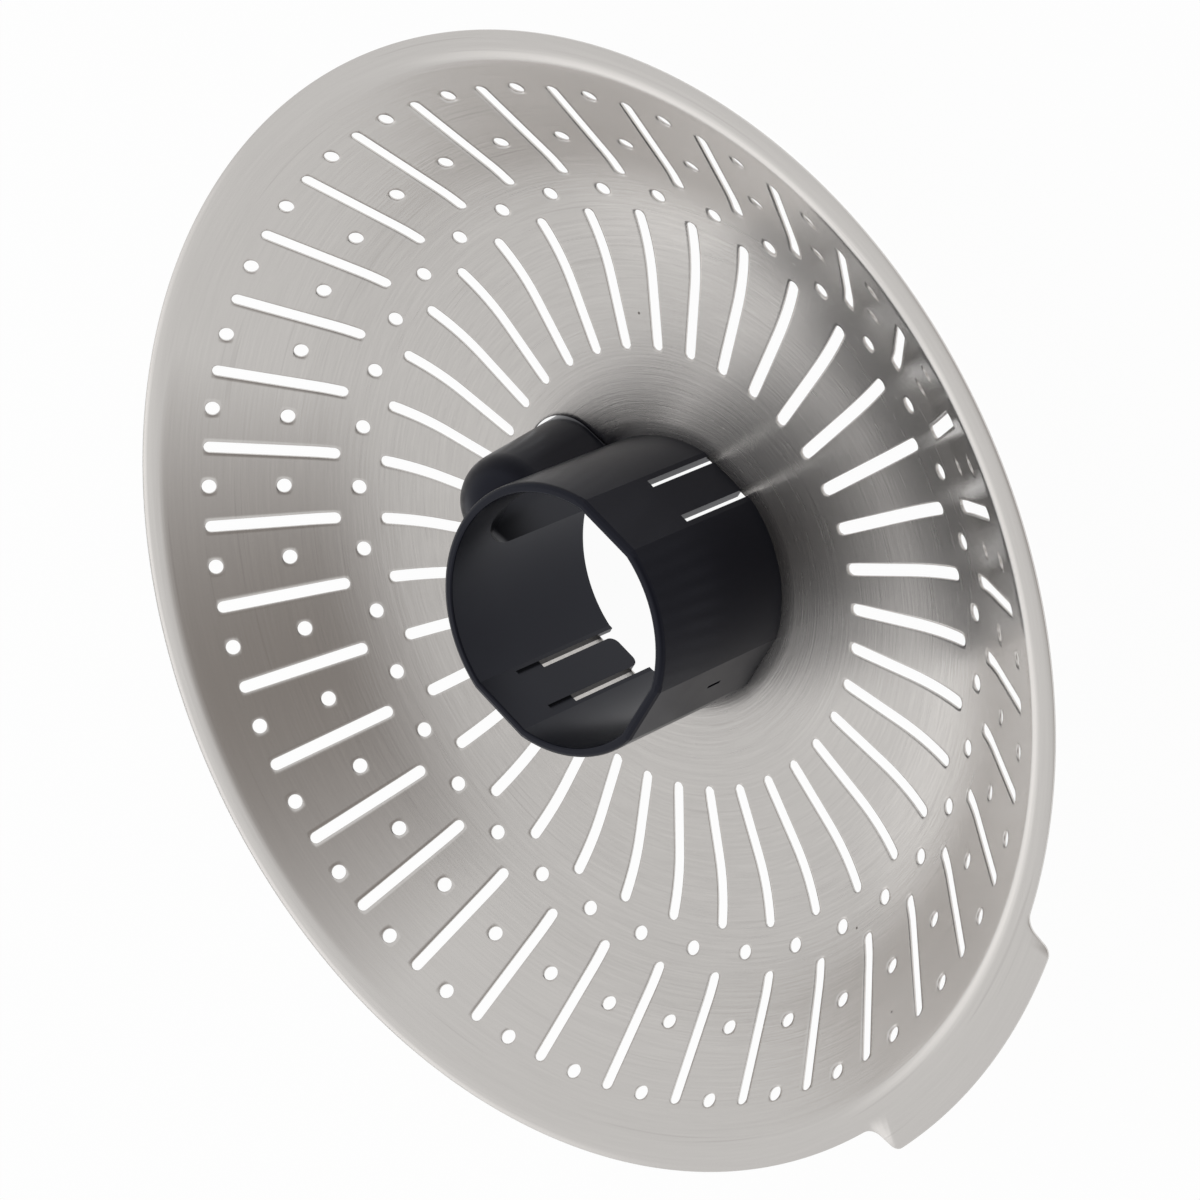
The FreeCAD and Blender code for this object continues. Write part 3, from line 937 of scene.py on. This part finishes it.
@dataclass(frozen=True)
class BrushedSteel:
    """Satin stainless steel, brushed in circles about the axis, with a few marks.

    The lines are short near the collar and long further out. They fade on the wall and the flange,
    and the wall is smoother than the floor. The ways are lengths along the dish's section. A mark is
    a place in millimetres, dark within the first of the mark radii and gone beyond the second.
    """

    light: Colour = (0.715, 0.69, 0.666, 1.0)
    dark: Colour = (0.64, 0.617, 0.596, 1.0)
    mark: Colour = (0.12, 0.1, 0.09, 1.0)
    marks: tuple[tuple[float, float, float], ...] = (
        (-19.112, 23.047, 2.618), (54.966, -9.6, 15.701), (43.617, -13.094, 6.41))
    mark_radii: tuple[float, float] = (0.1, 0.2)
    mark_strength: float = 0.9
    long_lines: Streaks = Streaks(1.6, 3.0, 4.0, 0.7)
    short_lines: Streaks = Streaks(6.0, 4.0, 3.0, 0.6)
    line_range: tuple[float, float] = (0.3, 0.7)
    scratches: Streaks = Streaks(2.4, 2.6, 0.0, 0.5)
    scratch_range: tuple[float, float] = (0.76, 0.82)
    scratch_strength: float = 0.08
    turned_ways: tuple[float, float] = (20.0, 36.0)
    turned_shares: tuple[float, float] = (1.0, 0.25)
    fade_ways: tuple[float, float] = (54.0, 70.0)
    fade_shares: tuple[float, float] = (1.0, 0.4)
    faded_tone: float = 0.5
    roughness: tuple[float, float] = (0.28, 0.24)
    polish_ways: tuple[float, float] = (48.0, 56.0)
    polish_shares: tuple[float, float] = (1.0, 0.65)
    stretch: float = 1.0
    quarter_turn: float = 0.25
    relief_strength: float = 0.3
    relief_depth: float = 0.04

    def make(self) -> bpy.types.Material:
        """Make the material.

        Returns:
            The material, whose brush lines follow the dish's own UV map and its axis.
        """
        material = bpy.data.materials.new("brushed_steel")
        nodes = NodeTree(material)
        place = nodes.add("ShaderNodeTexCoord").outputs["Object"]
        around = nodes.vector("NORMALIZE", nodes.vector("MULTIPLY", place, (1.0, 1.0, 0.0)))
        brush = nodes.add("ShaderNodeUVMap", uv_map=BRUSH_MAP).outputs["UV"]
        way = nodes.add("ShaderNodeSeparateXYZ", {0: brush}).outputs["Y"]
        upright = nodes.add("ShaderNodeCombineXYZ", {"Z": way}).outputs[0]
        lines = nodes.blend(
            Blend.VALUE,
            nodes.span(self.short_lines.draw(nodes, around, upright), self.line_range, UNIT),
            nodes.span(self.long_lines.draw(nodes, around, upright), self.line_range, UNIT),
            nodes.span(way, self.turned_ways, self.turned_shares))
        fade = nodes.span(way, self.fade_ways, self.fade_shares)
        tone = nodes.blend(Blend.VALUE, self.faded_tone, lines, fade)
        clean = nodes.span(self.scratches.draw(nodes, around, upright), self.scratch_range,
                           (1.0, 1.0 - self.scratch_strength))
        radii = (self.mark_radii[0] * MM, self.mark_radii[1] * MM)
        for centre in self.marks:
            gap = nodes.measure("DISTANCE", place, tuple(value * MM for value in centre))
            clean = nodes.scalar("MULTIPLY", clean, nodes.span(gap, radii, (1.0 - self.mark_strength, 1.0)))
        steel = nodes.blend(Blend.COLOUR, self.dark, self.light, tone)
        rough = nodes.span(tone, UNIT, self.roughness)
        polish = nodes.span(way, self.polish_ways, self.polish_shares)
        nodes.show(nodes.add("ShaderNodeBsdfPrincipled", {
            "Base Color": nodes.blend(Blend.COLOUR, self.mark, steel, clean),
            "Metallic": 1.0,
            "Roughness": nodes.scalar("MULTIPLY", rough, polish),
            "Anisotropic": self.stretch,
            "Anisotropic Rotation": self.quarter_turn,
            "Tangent": nodes.add("ShaderNodeTangent", direction_type="UV_MAP", uv_map=BRUSH_MAP).outputs[0],
            "Normal": nodes.bump(tone, self.relief_strength, self.relief_depth)}))
        return material


@dataclass(frozen=True)
class SatinPlastic:
    """Near-black moulded plastic with a satin skin and a faint mould texture.

    The grain and the flow are noises, each given as its scale, detail and roughness.
    """

    colour: Colour = (0.0028, 0.0036, 0.0082, 1.0)
    sheen: Colour = (0.8, 0.82, 1.0, 1.0)
    ior: float = 1.37
    roughness: tuple[float, float] = (0.29, 0.33)
    flow: tuple[float, float, float] = (140.0, 2.0, 0.5)
    flow_range: tuple[float, float] = (0.35, 0.65)
    grain: tuple[float, float, float] = (2200.0, 3.0, 0.6)
    relief_strength: float = 0.03
    relief_depth: float = 0.05

    def make(self) -> bpy.types.Material:
        """Make the material.

        Returns:
            The material.
        """
        material = bpy.data.materials.new("satin_plastic")
        nodes = NodeTree(material)
        place = nodes.add("ShaderNodeTexCoord").outputs["Object"]
        nodes.show(nodes.add("ShaderNodeBsdfPrincipled", {
            "Base Color": self.colour,
            "IOR": self.ior,
            "Specular Tint": self.sheen,
            "Roughness": nodes.span(nodes.noise(place, *self.flow), self.flow_range, self.roughness),
            "Normal": nodes.bump(nodes.noise(place, *self.grain), self.relief_strength, self.relief_depth)}))
        return material


@dataclass(frozen=True)
class Studio:
    """White floor, soft light all round, and the camera.

    The light is darker where the camera stands and brighter low behind the dish. Each of these two
    sides is a direction, with the cosines of the angle from it between which its light changes.
    Places are in metres, the camera's turn in degrees, and its lens and sensor in millimetres.
    """

    floor_half: float = 3.0
    floor_shadow: float = 0.04
    dark_side: tuple[float, float, float] = (0.466, 0.517, 0.718)
    dark_cosines: tuple[float, float] = (0.6, 1.0)
    dark_colour: Colour = (0.36, 0.333, 0.313, 1.0)
    bright_side: tuple[float, float, float] = (-0.459, -0.864, 0.208)
    bright_cosines: tuple[float, float] = (0.86, 0.97)
    strengths: tuple[float, float] = (0.78, 1.2)
    camera_place: tuple[float, float, float] = (0.13472, 0.26167, 0.31847)
    camera_turn: tuple[float, float, float] = (-21.1383, 39.6255, 31.5279)
    lens: float = 114.29
    sensor: float = 36.0
    clip_start: float = 0.01

    def floor(self) -> None:
        """Floor under the collar's foot: white to the camera and in gloss, with a faint shadow."""
        half = self.floor_half
        mesh = bpy.data.meshes.new("studio_floor")
        mesh.from_pydata([(-half, -half, 0.0), (half, -half, 0.0), (half, half, 0.0), (-half, half, 0.0)],
                         [], [(0, 1, 2, 3)])
        floor = bpy.data.objects.new("studio_floor", mesh)
        bpy.context.scene.collection.objects.link(floor)
        material = bpy.data.materials.new("studio_white")
        nodes = NodeTree(material)
        rays = nodes.add("ShaderNodeLightPath").outputs
        seen = nodes.scalar("MAXIMUM", rays["Is Camera Ray"], rays["Is Glossy Ray"])
        seen = nodes.scalar("MAXIMUM", seen, rays["Is Transmission Ray"])
        share = nodes.scalar("MULTIPLY", seen, 1.0 - self.floor_shadow)
        paper = nodes.add("ShaderNodeBsdfDiffuse", {"Color": WHITE})
        white = nodes.add("ShaderNodeEmission", {"Strength": 1.0})
        nodes.show(nodes.add("ShaderNodeMixShader", {0: share, 1: paper.outputs[0], 2: white.outputs[0]}))
        mesh.materials.append(material)

    def world(self) -> None:
        """Soft light from all round, less from the side of the camera and more from low behind the dish."""
        world = bpy.data.worlds.new("studio_world")
        bpy.context.scene.world = world
        nodes = NodeTree(world)
        way = nodes.vector("NORMALIZE", nodes.add("ShaderNodeTexCoord").outputs["Generated"])
        dark = nodes.span(nodes.measure("DOT_PRODUCT", way, self.dark_side), self.dark_cosines, UNIT)
        bright = nodes.measure("DOT_PRODUCT", way, self.bright_side)
        nodes.show(nodes.add("ShaderNodeBackground", {
            "Color": nodes.blend(Blend.COLOUR, WHITE, self.dark_colour, dark),
            "Strength": nodes.span(bright, self.bright_cosines, self.strengths)}), "ShaderNodeOutputWorld")

    def camera(self) -> None:
        """Camera at the photograph's angle, distance and roll."""
        data = bpy.data.cameras.new("camera")
        data.lens = self.lens
        data.sensor_width = self.sensor
        data.clip_start = self.clip_start
        camera = bpy.data.objects.new("camera", data)
        camera.location = self.camera_place
        camera.rotation_euler = [math.radians(angle) for angle in self.camera_turn]
        bpy.context.scene.collection.objects.link(camera)
        bpy.context.scene.camera = camera

    def build(self) -> None:
        """Set the stage."""
        self.floor()
        self.world()
        self.camera()
        bpy.context.scene.view_settings.view_transform = "Standard"


def report(piece: bpy.types.Object) -> None:
    """Log a piece's name and its number of faces.

    Args:
        piece: The piece.
    """
    LOG.info("%s: %d faces", piece.name, len(piece.data.polygons))


def main() -> None:
    """Build the studio, the dish and the collar in order, and log the dish's and the collar's numbers of
    faces.
    """
    logging.basicConfig(level=logging.INFO, format="%(message)s")
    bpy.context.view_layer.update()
    Studio().build()
    report(StrainerDish().build(BrushedSteel()))
    report(Collar().build(SatinPlastic()))


if __name__ == "__main__":
    main()
